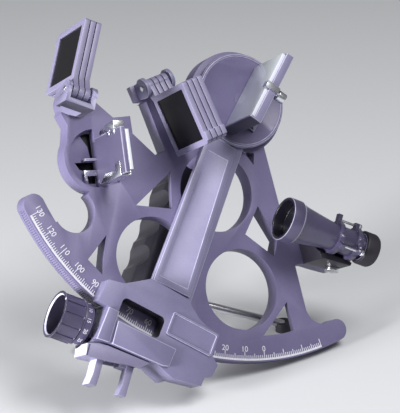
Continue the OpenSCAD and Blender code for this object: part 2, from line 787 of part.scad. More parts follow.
module pivot_nut() color(steel) stand() {
    difference() {
        slab(-frame_t - 3.2, -frame_t - 0.3) circle(shaft_r + 4);
        slab(-frame_t - 10, 0) circle(shaft_r);
    }
}

// Index mirror
module index_mirror_frame() {
    stand() rotate([0, 0, index_mirror_angle]) translate([1, 0, 0]) children();
}
module index_mirror_glass() color(mirror_tone) index_mirror_frame() {
    translate([-index_mirror_l / 2, 0, disc_top + 1.2])
        cube([index_mirror_l, mirror_t, index_mirror_h]);
}
module index_mirror_holder() color(plastic) index_mirror_frame() {
    length = index_mirror_l + 4;
    difference() {
        union() {
            translate([-length / 2, -holder_t - 2.4, disc_top])
                cube([length, holder_t + 2.4, index_mirror_h + 2.4]);
            translate([-length / 2, -holder_t - 2.4, disc_top])
                cube([2 - eps, holder_t + 2.4 + mirror_t + 0.8, index_mirror_h + 2.4]);
            translate([-17, -18, disc_top]) cube([34, 16, 3]);
        }
        // Hollow back of the holder
        translate([-length / 2 + 4, -holder_t - 2.4 - eps, disc_top + 5])
            cube([length - 8, 2.4, index_mirror_h - 6]);
    }
    // Buttress behind the holder
    rotate([90, 0, 90]) translate([0, 0, -16]) linear_extrude(2.6)
        polygon([[-17, disc_top + 3 - eps], [-5, disc_top + 3 - eps], [-5, disc_top + 22]]);
}
module index_mirror_clip() color(steel) index_mirror_frame() {
    top = disc_top + 2.4 + index_mirror_h;
    translate([-3, -holder_t - 3.6, top]) {
        cube([4.5, holder_t + 3.6 + mirror_t + 1, 1]);
        translate([0, 0, -8]) cube([4.5, 1.2 - eps, 8 + eps]);
        translate([0, holder_t + 3.6 + mirror_t + eps, -4]) cube([4.5, 1, 4 + eps]);
    }
}
module index_mirror_screw() color(steel) index_mirror_frame() {
    translate([-0.8, -holder_t - 3.6, disc_top + index_mirror_h - 2]) rotate([90, 0, 0]) {
        cylinder(h = 2.4, r = 1.6, $fn = 32);
        translate([0, 0, 1.6]) cylinder(h = 6, r = 3.8, $fn = 48);
    }
}

// Micrometer housing, in the frame of the arm's foot
housing_angle = 36;
worm_axis_r = rack_tip + worm_gap + worm_r;
worm_axis_h = -frame_t / 2 + 1.5;
drum_start = 63.2;
housing_back = -frame_t - 2;
housing_skin = 3.5;
housing_outline = [
    [-46, -181], [-38.3, -181.6], [-38.3, -205.4], [-28, -204], [11.2, -201.6], [18.8, -204],
    [23.8, -205], [38.5, -201.8], [44.1, -200.6], [44.3, -194.4], [48.9, -191.8], [50.4, -182.6],
    [44.7, -178.7], [43.5, -162.8], [34, -162], [25.8, -159.4], [18, -154.5], [14.6, -151],
    [-16.2, -150.2], [-23.8, -155.7], [-33, -162.2], [-44.5, -165]
];
// The wall beyond the limb is deep only round the worm
deep_left = -40;
deep_right = 25;
module window_2d(d) {
    translate([-30 - d, -186 - d]) rounded_rect([33 + 2 * d, 15.5 + 2 * d], 3.5 + d);
}
module drum_space(gap) {
    translate([2.6 - drum_start, -worm_axis_r, worm_axis_h])
        rotate([0, -90, 0]) cylinder(h = 50, r = drum_r + 0.6 + gap, $fn = 64);
}
module micrometer_housing() color(plastic_light) stand() {
    difference() {
        at_angle(housing_angle) {
            // Front shell over the limb
            difference() {
                slab(arm_base, housing_h) polygon(housing_outline);
                difference() {
                    slab(0, housing_h - housing_skin) intersection() {
                        polygon(inset(housing_outline, housing_wall));
                        circle(rack_tip - 2, $fn = 180);
                    }
                    slab(0, housing_h) window_2d(2);
                }
                slab(0, housing_h + 1) window_2d(0);
            }
            // Wall beyond the limb, down to the back of the housing
            slab(-2, arm_base + eps) difference() {
                polygon(housing_outline);
                circle(rack_tip + worm_gap + 0.9, $fn = 180);
            }
            slab(housing_back, -2 + eps) difference() {
                intersection() {
                    polygon(housing_outline);
                    translate([deep_left, -300]) square([deep_right - deep_left, 200]);
                }
                circle(rack_tip + worm_gap + 0.9, $fn = 180);
            }
        }
        // Arm's foot enters under the front shell
        at_angle(arm_angle) {
            slab(0, panel_base + 0.02)
                polygon([[-20, -100], [-17.7, -arm_foot - 0.2], [15.1, -arm_foot - 0.2], [20, -100]]);
        }
        at_angle(worm_angle) {
            // Chamber of the worm carrier
            translate([-80, -worm_axis_r - 10.4, worm_axis_h - 6.2])
                cube([82, 10.4 + worm_r + 1.2, 12.4]);
            // Way out for the release lever
            translate([slot_left, -lever_r - 20, -4.6]) cube([slot_l - 3, 28, 12.4]);
            drum_space(1);
        }
    }
}
module worm_cover() color(plastic_light) stand() difference() {
    at_angle(housing_angle) slab(housing_h, housing_h + 2.2) {
        polygon([[-28.6, -187.6], [-26.6, -203.6], [12.3, -201.2], [16.7, -199.7], [17.2, -186.6]]);
        polygon([[-38, -182], [-30.4, -182], [-28.6, -203.8], [-38, -205.2]]);
    }
    at_angle(worm_angle) drum_space(1);
}
module name_plate() color(plastic_light) stand() at_angle(housing_angle) {
    difference() {
        translate([6.6, -180, housing_h]) rounded_box([36.4, 16.4, 1.2], 1.5);
        translate([8, -178.6, housing_h + 0.6]) rounded_box([33.6, 13.6, 2], 1);
    }
}

// Squeeze levers, in the frame of the worm
carrier_r = worm_axis_r + worm_r + 0.5;
carrier_t = 2.4;
lever_r = carrier_r + carrier_t + 4.2;
pivot_r = lever_r + 3.6;
prong_r = pivot_r + 5.5;
pivot_a = -42.5;
lever_left = -66.5;
lever_right = -20;
slot_left = pivot_a - 6;
slot_l = 30;
release_pin_r = 1.5;
module prong_2d() {
    polygon([[-2.4, 2], [-2.3, -prong_l * 0.6], [-3.4, -prong_l], [2, -prong_l], [2.3, -prong_l * 0.6], [2.6, 2]]);
}
module fixed_lever() color(plastic_light) stand() at_angle(worm_angle) {
    difference() {
        slab(-6, housing_h)
            polygon([[lever_left, -lever_r - 3.2], [lever_left + 1, -lever_r - 10.8],
                     [lever_left + 3.5, -lever_r - 11.2], [lever_right - 5, -lever_r - 6],
                     [lever_right, -lever_r - 1.4], [-52, -lever_r - 0.2], [-59, -lever_r - 0.8]]);
        // Slot that the release lever moves in
        translate([slot_left, -lever_r - 20, -4.4]) cube([slot_l, 30, 12]);
        drum_space(0.6);
        translate([pivot_a, -pivot_r, -7]) cylinder(h = 18, r = release_pin_r, $fn = 32);
    }
    slab(-2, 9) translate([-53.4, -prong_r]) prong_2d();
}
module release_pin() color(steel) stand() at_angle(worm_angle) {
    translate([pivot_a, -pivot_r, -5.6]) cylinder(h = 16, r = release_pin_r, $fn = 32);
}
journal_r = 2;
worm_l = 10;
worm_start = 4;
cheek_t = 3;
cheek_left = 2.2 - drum_start;
cheek_right = 0.8 - worm_start;
cheeks = [cheek_left, -worm_start - worm_l - cheek_t, cheek_right];
rail_l = cheek_right + cheek_t - cheek_left;
module worm_carrier() color(plastic_dark) stand() at_angle(worm_angle) {
    difference() {
        union() {
            // Rail beside the worm with three bearing cheeks
            translate([cheek_left, -carrier_r - carrier_t, worm_axis_h - 4.6]) cube([rail_l, carrier_t, 9.2]);
            for (a = cheeks)
                translate([a, -carrier_r - carrier_t, worm_axis_h - 4.6]) cube([cheek_t, carrier_t + 8, 9.2]);
            // Ear on the release pin
            translate([pivot_a, -pivot_r, -3.4]) cylinder(h = 8.1, r = 3.4, $fn = 48);
            translate([pivot_a - 3.4, -pivot_r, -3.4]) cube([6.8, pivot_r - carrier_r, 3.4 + worm_axis_h + 4.6]);
        }
        translate([-80, -worm_axis_r, worm_axis_h]) rotate([0, 90, 0])
            cylinder(h = 100, r = journal_r + run_gap, $fn = 48);
        translate([pivot_a, -pivot_r, -10]) cylinder(h = 30, r = release_pin_r + run_gap, $fn = 32);
    }
}
module release_lever() color(plastic_light) stand() at_angle(worm_angle) {
    slab(-3.2, 6.4)
        polygon([[pivot_a + 4.5, -carrier_r - carrier_t], [pivot_a + 4.5, -prong_r],
                 [pivot_a + 14.5, -prong_r], [pivot_a + 14.5, -carrier_r - carrier_t]]);
    slab(0, 7) translate([pivot_a + 11.9, -prong_r]) prong_2d();
}
module on_worm() {
    stand() at_angle(worm_angle) translate([0, -worm_axis_r, worm_axis_h]) rotate([0, -90, 0]) children();
}
worm_turns = 7;
module worm_shaft() color(steel) on_worm() {
    step = worm_l / worm_turns;
    rotate_extrude($fn = 48) polygon([
        [0, 0], [journal_r, 0], [journal_r, worm_start - 0.6], [worm_r - rack_depth, worm_start - 0.6],
        for (i = [0 : worm_turns - 1], k = [0, 0.5])
            [k == 0 ? worm_r - rack_depth : worm_r, worm_start + (i + k) * step],
        [worm_r - rack_depth, worm_start + worm_l - 0.2], [journal_r, worm_start + worm_l - 0.2],
        [journal_r, drum_start + drum_l + 1], [0, drum_start + drum_l + 1]
    ]);
}
module micrometer_drum() color(plastic_dark) on_worm() {
    difference() {
        translate([0, 0, drum_start]) rotate_extrude() polygon([
            [journal_r, 0], [drum_r - 2.6, 0], [drum_r - 2.6, 2], [drum_r - 1.5, 2], [drum_r - 1.5, 9],
            [drum_r, 9.2], [drum_r, 9 + drum_l - 1], [drum_r + 0.6, 9 + drum_l - 0.6],
            [drum_r + 0.6, 9 + drum_l], [drum_r - 1.2, 9 + drum_l], [drum_r - 2, 9 + drum_l - 1],
            [drum_r - 2, 12], [5, 12], [5, 9 + drum_l - 9], [journal_r, 9 + drum_l - 9]
        ]);
        // Axial grooves in the grip
        for (a = [0 : 30 : 330])
            rotate([0, 0, a]) translate([drum_r - 0.7, -0.7, drum_start + 9.3])
                cube([2, 1.4, drum_l - 1.6]);
    }
}
module dial_ring() color(plastic_dark) on_worm() {
    translate([0, 0, drum_start + 2.4]) difference() {
        cylinder(h = 5.6, r = drum_r - 0.9);
        translate([0, 0, -1]) cylinder(h = 8, r = drum_r - 1.5);
    }
}

frame();
arc_rack();
arc_scale();
pivot_bush();
handle_posts();
handle_grip();
rest_leg_left();
rest_leg_right();
rest_feet();
telescope_bracket();
clamp_screw();
telescope_body();
objective_lens();
telescope_collar();
collimation_screws();
eyepiece_tube();
eyecup();
eye_lens();
horizon_mirror_holder();
horizon_mirror_glass();
horizon_mirror_clips();
horizon_shade_bracket();
horizon_shade_pin();
color(plastic) horizon_shade(0) shade_plate();  // horizon_shade_1
color(black_glass) horizon_shade(0) shade_glass();  // horizon_shade_glass_1
color(plastic) horizon_shade(1) shade_plate();  // horizon_shade_2
color(black_glass) horizon_shade(1) shade_glass();  // horizon_shade_glass_2
color(plastic) horizon_shade(2) shade_plate();  // horizon_shade_3
color(black_glass) horizon_shade(2) shade_glass();  // horizon_shade_glass_3
index_shade_bracket();
index_shade_pin();
color(plastic) index_shade(0) shade_plate();  // index_shade_1
color(black_glass) index_shade(0) shade_glass();  // index_shade_glass_1
color(plastic) index_shade(1) shade_plate();  // index_shade_2
color(black_glass) index_shade(1) shade_glass();  // index_shade_glass_2
color(plastic) index_shade(2) shade_plate();  // index_shade_3
color(black_glass) index_shade(2) shade_glass();  // index_shade_glass_3
color(plastic) index_shade(3) shade_plate();  // index_shade_4
color(black_glass) index_shade(3) shade_glass();  // index_shade_glass_4
index_arm();
arm_panel();
index_disc();
pivot_shaft();
pivot_nut();
index_mirror_holder();
index_mirror_glass();
index_mirror_clip();
index_mirror_screw();
micrometer_housing();
worm_cover();
name_plate();
fixed_lever();
release_pin();
worm_carrier();
release_lever();
worm_shaft();
micrometer_drum();
dial_ring();
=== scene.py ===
# Mariner's sextant of violet-grey moulded plastic, on a plain pale floor.
# Pieces are placed in the instrument's own plane, in millimetres: x to the right, y up
# from the index arm's pivot, z towards the observer. STAND then takes them to the world.
import json
from math import cos, radians, sin, tau

import bmesh
import bpy
from mathutils import Matrix, Vector

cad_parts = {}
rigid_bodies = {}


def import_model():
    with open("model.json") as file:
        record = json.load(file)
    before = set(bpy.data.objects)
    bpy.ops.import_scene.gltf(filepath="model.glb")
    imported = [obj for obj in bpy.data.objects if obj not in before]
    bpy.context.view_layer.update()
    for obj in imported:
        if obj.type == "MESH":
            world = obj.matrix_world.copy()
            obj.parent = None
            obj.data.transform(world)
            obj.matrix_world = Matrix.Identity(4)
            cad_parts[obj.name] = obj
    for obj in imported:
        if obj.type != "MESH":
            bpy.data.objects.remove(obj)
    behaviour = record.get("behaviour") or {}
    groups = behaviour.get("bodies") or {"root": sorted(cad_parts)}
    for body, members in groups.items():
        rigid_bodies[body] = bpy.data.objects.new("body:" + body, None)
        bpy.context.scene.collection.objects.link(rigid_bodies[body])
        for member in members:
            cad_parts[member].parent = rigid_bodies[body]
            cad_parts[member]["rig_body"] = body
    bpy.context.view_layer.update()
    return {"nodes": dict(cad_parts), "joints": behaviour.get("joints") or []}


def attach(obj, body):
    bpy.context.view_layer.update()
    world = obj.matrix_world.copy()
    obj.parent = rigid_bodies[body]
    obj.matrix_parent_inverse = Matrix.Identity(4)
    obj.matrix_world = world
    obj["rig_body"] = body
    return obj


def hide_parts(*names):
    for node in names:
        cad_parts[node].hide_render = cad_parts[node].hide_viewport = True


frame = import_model()
NODES = frame["nodes"]
MM = 0.001

# Stance of the instrument, in degrees: its plane leans back, and turns a little
LEAN = 30
TURN = 6.5
swing = next(j for j in frame["joints"] if j["name"] == "index_arm_swing")
STAND = (Matrix.Translation(swing["pos_m"])
         @ Matrix.Rotation(radians(90 - LEAN), 4, "X")
         @ Matrix.Rotation(radians(-TURN), 4, "Z")
         @ Matrix.Scale(MM, 4))
FLAT = STAND.inverted()

# Places shared with the solids, in millimetres. Angles are in degrees, to the left of straight
# down, and the two mirrors' are anticlockwise from x.
ZERO_ANGLE = 6.9
SCALE_MAX = 130
HOUSING_ANGLE = 36
WORM_ANGLE = 29.2
WORM_AXIS = 188.5
WORM_DEPTH = -4.5
DRUM_R = 15.6
DRUM_WALL = 1.9
DRUM_START = 63.2
SCOPE_ANGLE = 27
SCOPE_ORIGIN = (-0.8, -88.6, 29)
SCOPE_BORE_R = 12.4
LOBE = (-116.7, -24.8, 0)
RECESS_R = 19.5
RECESS_FLOOR = -5.7
WINDOW = (-31, 4, -187, -169.5)
MIRROR_ANGLE = 48
HORIZON_ANGLE = 85
LEVER_END = (-64.9, -207.6, 13)

# Printed numbers: their circle, height and step
ARC_NUMBER_R = 174.2
ARC_NUMBER_H = 5.4
ARC_NUMBER_LIFT = 0.1
ARC_STEP = 10
DIAL_NUMBER_R = 14.72
DIAL_NUMBER_H = 3.6
DIAL_NUMBER_X = 5.2
DIAL_STEP = 5
DIAL_NUMBERS = 12
INK_THICKNESS = 0.08
INK_SPREAD = 0.02

# Details that only the scene has
SEAM_SIZE = (1.0, 7.6, 0.12)
CAP_R = 5.5
CAP_H = 0.3
CAP_LIFT = 0.1


# Mesh helpers

def select_only(piece):
    """Selects one object alone and makes it the active one."""
    bpy.ops.object.select_all(action="DESELECT")
    piece.select_set(True)
    bpy.context.view_layer.objects.active = piece


def edit(piece, *steps):
    """Runs operators on a whole mesh in edit mode."""
    select_only(piece)
    bpy.ops.object.mode_set(mode="EDIT")
    bpy.ops.mesh.select_all(action="SELECT")
    for step in steps:
        step()
    bpy.ops.object.mode_set(mode="OBJECT")


def finish_with(piece, kind, **settings):
    """Adds a modifier and applies it."""
    select_only(piece)
    modifier = piece.modifiers.new(kind.title(), kind)
    for name, value in settings.items():
        setattr(modifier, name, value)
    bpy.ops.object.modifier_apply(modifier=modifier.name)


def smooth(piece, angle):
    """Shades smooth, but for edges sharper than an angle."""
    select_only(piece)
    bpy.ops.object.shade_smooth_by_angle(angle=radians(angle))


def placed(piece, name, matrix):
    """Names a new piece and takes its mesh from its own millimetres to the world."""
    piece.name = name
    piece.data.name = name
    piece.data.transform(matrix @ piece.matrix_world)
    piece.matrix_world = Matrix.Identity(4)
    return piece


def dressed(piece, body, slot, *nodes, finish=None):
    """Gives a piece its body, its slot and the solids that it stands for.
    Its finish is the one named after the slot, unless another is named."""
    piece.data.materials.clear()
    piece.data.materials.append(FINISHES[finish or slot])
    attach(piece, body)
    if nodes:
        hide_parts(*nodes)
    return piece


def weigh_outer_edges(piece, angle):
    """Gives a bevel weight to each edge that sticks out, and none to inner corners."""
    shape = bmesh.new()
    shape.from_mesh(piece.data)
    weights = shape.edges.layers.float.new("bevel_weight_edge")
    for edge in shape.edges:
        if edge.is_manifold and edge.calc_face_angle_signed(0) > radians(angle):
            edge[weights] = 1
    shape.to_mesh(piece.data)
    shape.free()


def mark(piece, name, chosen, strength=1.0):
    """Stores on the chosen faces how strongly a shader's effect applies there, and 0 elsewhere."""
    values = [strength * chosen(face) for face in piece.data.polygons]
    layer = piece.data.attributes.get(name) or piece.data.attributes.new(name, "FLOAT", "FACE")
    layer.data.foreach_set("value", values)


MERGE_GAP = 2e-6
FLAT_ANGLE = 0.6
BEVEL_ANGLE = 28
BEVEL_SEGMENTS = 3
SMOOTH_ANGLE = 30


def moulded(node, edge):
    """A copy of a solid with its outer edges rounded over, as a moulding or a casting has them."""
    piece = bpy.data.objects.new(node + "_piece", NODES[node].data.copy())
    bpy.context.scene.collection.objects.link(piece)
    edit(piece,
         lambda: bpy.ops.mesh.remove_doubles(threshold=MERGE_GAP),
         lambda: bpy.ops.mesh.dissolve_limited(angle_limit=radians(FLAT_ANGLE),
                                               use_dissolve_boundaries=False))
    weigh_outer_edges(piece, BEVEL_ANGLE)
    piece.data.materials.clear()
    piece.data.materials.append(None)
    piece.data.materials.append(None)
    finish_with(piece, "BEVEL", width=edge * MM, segments=BEVEL_SEGMENTS, limit_method="WEIGHT",
                use_clamp_overlap=True, miter_outer="MITER_ARC", harden_normals=False, material=1)
    # The rounded faces are marked edge: a painted highlight on mouldings, the ground edge on mirrors
    mark(piece, "edge", lambda face: face.material_index == 1)
    for face in piece.data.polygons:
        face.material_index = 0
    smooth(piece, SMOOTH_ANGLE)
    return piece


# Shader helpers

class Wire:
    """An output socket that arithmetic can be written on."""

    def __init__(self, shading, socket):
        self.shading = shading
        self.socket = socket

    def maths(self, operation, first, second=None):
        values = {0: first}
        if second is not None:
            values[1] = second
        return self.shading.put("ShaderNodeMath", {"operation": operation}, values)

    def __add__(self, other):
        return self.maths("ADD", self, other)

    __radd__ = __add__

    def __sub__(self, other):
        return self.maths("SUBTRACT", self, other)

    def __rsub__(self, other):
        return self.maths("SUBTRACT", other, self)

    def __mul__(self, other):
        return self.maths("MULTIPLY", self, other)

    __rmul__ = __mul__


class Shading:
    """A material under construction, whose nodes are made by expressions."""

    def __init__(self):
        self.material = bpy.data.materials.new("finish")
        self.material.use_nodes = True
        self.tree = self.material.node_tree
        self.tree.nodes.clear()
        self.place = None

    def put(self, kind, settings=None, values=None, output=0):
        """Adds a node: its settings first, then its sockets' values or links."""
        node = self.tree.nodes.new(kind)
        for name, value in (settings or {}).items():
            if name == "stops":
                self.set_stops(node.color_ramp, value)
            else:
                setattr(node, name, value)
        for name, value in (values or {}).items():
            if isinstance(value, Wire):
                self.tree.links.new(value.socket, node.inputs[name])
            else:
                node.inputs[name].default_value = value
        return Wire(self, node.outputs[output]) if len(node.outputs) else None

    def set_stops(self, ramp, stops):
        while len(ramp.elements) < len(stops):
            ramp.elements.new(1)
        for element, (place, colour) in zip(ramp.elements, stops):
            element.position = place
            element.color = colour

    def coordinates(self):
        """The object's own coordinates, from one node for the whole material."""
        if self.place is None:
            self.place = self.put("ShaderNodeTexCoord", output="Object")
        return self.place

    def marked(self, name):
        """A value that mark() stored on the faces."""
        return self.put("ShaderNodeAttribute", {"attribute_name": name}, output="Fac")

    def noise(self, scale, detail, roughness):
        return self.put("ShaderNodeTexNoise", None, {
            "Vector": self.coordinates(),
            "Scale": scale, "Detail": detail, "Roughness": roughness})

    def ramp(self, factor, *stops):
        """Grey ramp through (place, level) stops."""
        levels = [(place, (level, level, level, 1)) for place, level in stops]
        return self.put("ShaderNodeValToRGB", {"stops": levels}, {"Fac": factor})

    def mix(self, factor, first, second):
        """Mix of two colours, whose sockets have numbers because their names repeat."""
        return self.put("ShaderNodeMix", {"data_type": "RGBA"},
                        {0: factor, 6: first, 7: second}, output=2)

    def bump(self, height, distance, strength):
        return self.put("ShaderNodeBump", None, {
            "Height": height, "Distance": distance, "Strength": strength})

    def surface(self, **values):
        """Principled surface, whose sockets are named with underscores for spaces."""
        names = {name.replace("_", " "): value for name, value in values.items()}
        shader = self.put("ShaderNodeBsdfPrincipled", None, names)
        self.put("ShaderNodeOutputMaterial", None, {"Surface": shader})
        return self.material


def tint(red, green, blue):
    """Linear colour of an sRGB colour with channels from 0 to 255."""
    def linear(channel):
        c = channel / 255
        return c / 12.92 if c <= 0.04045 else ((c + 0.055) / 1.055) ** 2.4
    return (linear(red), linear(green), linear(blue), 1)


# Colour of the painted shade laid on faces marked dark
PAINTED_SHADE = tint(22, 20, 30)


def moulded_plastic(colour, shade, roughness=0.42, grain=1.0, edge_highlight=tint(214, 212, 238), coat=0.15):
    """Satin moulding with a cloudy colour, a fine grain, faint scuffs, a painted highlight on its
    rounded edges and painted shade on marked faces.
    """
    s = Shading()
    cloud = s.ramp(s.noise(scale=35, detail=4, roughness=0.6), (0.35, 0), (0.68, 1))
    speck = s.ramp(s.noise(scale=900, detail=2, roughness=0.6), (0.42, 0), (0.7, 1))
    scuff = s.ramp(s.noise(scale=160, detail=6, roughness=0.75), (0.52, 0), (0.75, 1))
    # Patches that break up the painted edge highlight
    highlight_patches = s.ramp(s.noise(scale=220, detail=3, roughness=0.6), (0.2, 0.45), (0.7, 1))
    base = s.mix(cloud * 0.6 + speck * 0.25, colour, shade)
    # Painted highlight on the rounded edges
    base = s.mix(s.marked("edge") * highlight_patches * 0.8, base, edge_highlight)
    # Painted shade on the faces marked dark: recesses, insides, undersides and walls
    base = s.mix(s.marked("dark"), base, PAINTED_SHADE)
    grain_height = s.noise(scale=1500, detail=2, roughness=0.5) + cloud * 0.2
    return s.surface(
        Base_Color=base,
        Roughness=scuff * 0.12 + roughness,
        Normal=s.bump(grain_height, distance=0.00006 * grain, strength=0.6),
        Coat_Weight=coat,
        Coat_Roughness=0.3)


def plain_metal(colour, roughness):
    """Turned or pressed metal with fine tool marks."""
    s = Shading()
    marks = s.noise(scale=900, detail=2, roughness=0.5)
    tarnish = s.ramp(s.noise(scale=70, detail=4, roughness=0.6), (0.4, 0), (0.75, 1))
    darker = tuple(c * 0.72 for c in colour[:3]) + (1,)
    return s.surface(
        Base_Color=s.mix(tarnish, colour, darker),
        Metallic=1.0,
        Roughness=marks * 0.12 + roughness,
        Normal=s.bump(marks, distance=0.00002, strength=0.5))


def soft_rubber(colour):
    """Dull rubber with a paler bloom."""
    s = Shading()
    speck = s.noise(scale=1800, detail=3, roughness=0.6)
    bloom = s.ramp(s.noise(scale=60, detail=4, roughness=0.6), (0.45, 0), (0.8, 1))
    paler = tuple(min(1, c * 1.9 + 0.01) for c in colour[:3]) + (1,)
    return s.surface(
        Base_Color=s.mix(bloom * 0.5, colour, paler),
        Roughness=bloom * 0.12 + 0.6,
        Normal=s.bump(speck, distance=0.00008, strength=0.7))


def mirror_silver(colour):
    """Mirror that is only partly metallic, the rest a pale diffuse colour as a painted reflection,
    with ground edges.
    """
    s = Shading()
    haze = s.ramp(s.noise(scale=45, detail=5, roughness=0.6), (0.5, 0), (0.85, 1))
    ground = s.marked("edge")
    return s.surface(
        Base_Color=s.mix(ground, colour, tint(232, 234, 244)),
        # Below full metal the pale base colour shows: a painted reflection
        Metallic=0.3 - ground * 0.3,
        Roughness=haze * 0.06 + ground * 0.4 + 0.1)


def optical_glass(colour, roughness=0.03, coat=0.6, sheen=0.5):
    """Glass that looks dark from outside."""
    s = Shading()
    haze = s.ramp(s.noise(scale=55, detail=4, roughness=0.6), (0.5, 0), (0.9, 1))
    return s.surface(
        Base_Color=colour,
        Roughness=haze * 0.04 + roughness,
        Specular_IOR_Level=sheen,
        Coat_Weight=coat,
        Coat_Roughness=0.03)


def white_ink(colour):
    """Paint in engraved marks, worn in places."""
    s = Shading()
    wear = s.ramp(s.noise(scale=900, detail=3, roughness=0.6), (0.3, 0), (0.6, 1))
    dull = tuple(c * 0.8 for c in colour[:3]) + (1,)
    return s.surface(Base_Color=s.mix(wear, dull, colour), Roughness=0.5)


# Finish of each slot: for a moulding its colour and the darker one that clouds it
FINISHES = {
    "frame_plastic": moulded_plastic(tint(122, 116, 152), tint(108, 101, 137)),
    "rack_plastic": moulded_plastic(tint(140, 136, 168), tint(120, 114, 146)),
    "arm_plastic": moulded_plastic(tint(140, 137, 169), tint(126, 121, 153)),
    "housing_plastic": moulded_plastic(tint(134, 130, 164), tint(120, 115, 150)),
    "lever_plastic": moulded_plastic(tint(146, 142, 172), tint(130, 125, 156)),
    "shade_plastic": moulded_plastic(tint(146, 142, 172), tint(128, 122, 154)),
    "drum_dark": moulded_plastic(tint(92, 86, 118), tint(72, 66, 94), roughness=0.33),
    "scope_dark": moulded_plastic(tint(82, 77, 108), tint(62, 58, 82), roughness=0.28,
                                  edge_highlight=tint(190, 186, 214), coat=0.6),
    # Near-black copy of the telescope's finish, for its bracket: painted shade
    "cradle_painted_shade": moulded_plastic(tint(32, 29, 40), tint(24, 22, 31), roughness=0.45,
                                   edge_highlight=tint(70, 66, 84)),
    "grip_black": moulded_plastic(tint(34, 31, 42), tint(26, 24, 33), grain=2.0,
                                  edge_highlight=tint(90, 86, 104)),
    "rubber_black": soft_rubber(tint(34, 31, 40)),
    "steel": plain_metal(tint(214, 214, 220), roughness=0.24),
    "clip_metal": plain_metal(tint(236, 238, 244), roughness=0.2),
    "brass": plain_metal(tint(206, 178, 112), roughness=0.28),
    # Pale mirror colour, which the mirrors' diffuse part shows as a painted reflection
    "mirror_glass": mirror_silver(tint(228, 234, 242)),
    "lens_glass": optical_glass(tint(22, 22, 30)),
    "shade_glass": optical_glass(tint(22, 21, 24), roughness=0.3, coat=0, sheen=0.15),
    "scale_white": white_ink(tint(236, 236, 246)),
}
for name, finish in FINISHES.items():
    finish.name = name


# Solids with their rounding in millimetres, or 0 where they stay as they are, and their slot
MOULDINGS = [
    ("frame", 0.9, "frame_plastic"),
    ("arc_rack", 0.0, "rack_plastic"),
    ("arc_scale", 0.0, "scale_white"),
    ("pivot_bush", 0.3, "brass"),
    ("handle_posts", 0.5, "frame_plastic"),
    ("handle_grip", 2.0, "grip_black"),
    ("rest_leg_left", 0.4, "steel"),
    ("rest_leg_right", 0.4, "steel"),
    ("rest_feet", 1.0, "rubber_black"),
    ("telescope_bracket", 0.8, "scope_dark"),
    ("clamp_screw", 0.4, "clip_metal"),
    ("telescope_body", 0.4, "scope_dark"),
    ("objective_lens", 0.0, "lens_glass"),
    ("telescope_collar", 0.4, "scope_dark"),
    ("collimation_screws", 0.2, "clip_metal"),
    ("eyepiece_tube", 0.3, "scope_dark"),
    ("eyecup", 0.6, "rubber_black"),
    ("eye_lens", 0.0, "lens_glass"),
    ("horizon_mirror_holder", 0.5, "frame_plastic"),
    ("horizon_mirror_glass", 0.2, "mirror_glass"),
    ("horizon_mirror_clips", 0.2, "clip_metal"),
    ("horizon_shade_bracket", 0.6, "arm_plastic"),
    ("horizon_shade_pin", 0.3, "steel"),
    ("index_shade_bracket", 0.5, "arm_plastic"),
    ("index_shade_pin", 0.3, "steel"),
    ("index_arm", 0.6, "arm_plastic"),
    ("arm_panel", 0.6, "arm_plastic"),
    ("index_disc", 0.3, "frame_plastic"),
    ("pivot_shaft", 0.4, "steel"),
    ("pivot_nut", 0.5, "steel"),
    ("index_mirror_holder", 0.5, "arm_plastic"),
    ("index_mirror_glass", 0.2, "mirror_glass"),
    ("index_mirror_clip", 0.2, "clip_metal"),
    ("index_mirror_screw", 0.3, "clip_metal"),
    ("micrometer_housing", 0.8, "housing_plastic"),
    ("worm_cover", 0.5, "housing_plastic"),
    ("name_plate", 0.3, "housing_plastic"),
    ("fixed_lever", 0.7, "lever_plastic"),
    ("release_pin", 0.2, "steel"),
    ("worm_carrier", 0.3, "drum_dark"),
    ("release_lever", 0.5, "lever_plastic"),
    ("worm_shaft", 0.0, "steel"),
    ("micrometer_drum", 0.3, "drum_dark"),
    ("dial_ring", 0.15, "drum_dark"),
]
for count, side in ((3, "horizon"), (4, "index")):
    for i in range(1, count + 1):
        MOULDINGS.append((f"{side}_shade_{i}", 0.5, "shade_plastic"))
        MOULDINGS.append((f"{side}_shade_glass_{i}", 0.0, "shade_glass"))

# Solids with another finish than the one that their slot is named after. The telescope bracket's is a
# near-black copy of the telescope's finish: painted shade.
OTHER_FINISH = {"telescope_bracket": "cradle_painted_shade"}

pieces = {}
for node, edge, slot in MOULDINGS:
    if edge:
        pieces[node] = dressed(moulded(node, edge), NODES[node]["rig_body"], slot, node,
                               finish=OTHER_FINISH.get(node))
    else:
        NODES[node].data.materials.clear()
        NODES[node].data.materials.append(FINISHES[slot])


# Faces that are darker or brighter than the rest of their piece: painted shade, painted highlights,
# and the mirrors' ground edges

def turned_down(angle, y=0.0, h=0.0):
    """A frame turned to the left in the plane, then moved along its own y and z."""
    return Matrix.Rotation(radians(-angle), 4, "Z") @ Matrix.Translation((0, y, h))


def seen_from(frame_matrix):
    """Gives a face's centre and normal in a frame of the plane, in millimetres."""
    back = (STAND @ frame_matrix).inverted()
    return lambda face: (back @ face.center, (back.to_3x3() @ face.normal).normalized())


def round_x(matrix, test):
    """A test on a face's distance from the x axis and its normal's shares outward and along x."""
    local = seen_from(matrix)

    def chosen(face):
        centre, normal = local(face)
        spread = Vector((0, centre.y, centre.z))
        outward = normal.dot(spread) / max(spread.length, 0.01)
        return test(spread.length, outward, normal.x)
    return chosen


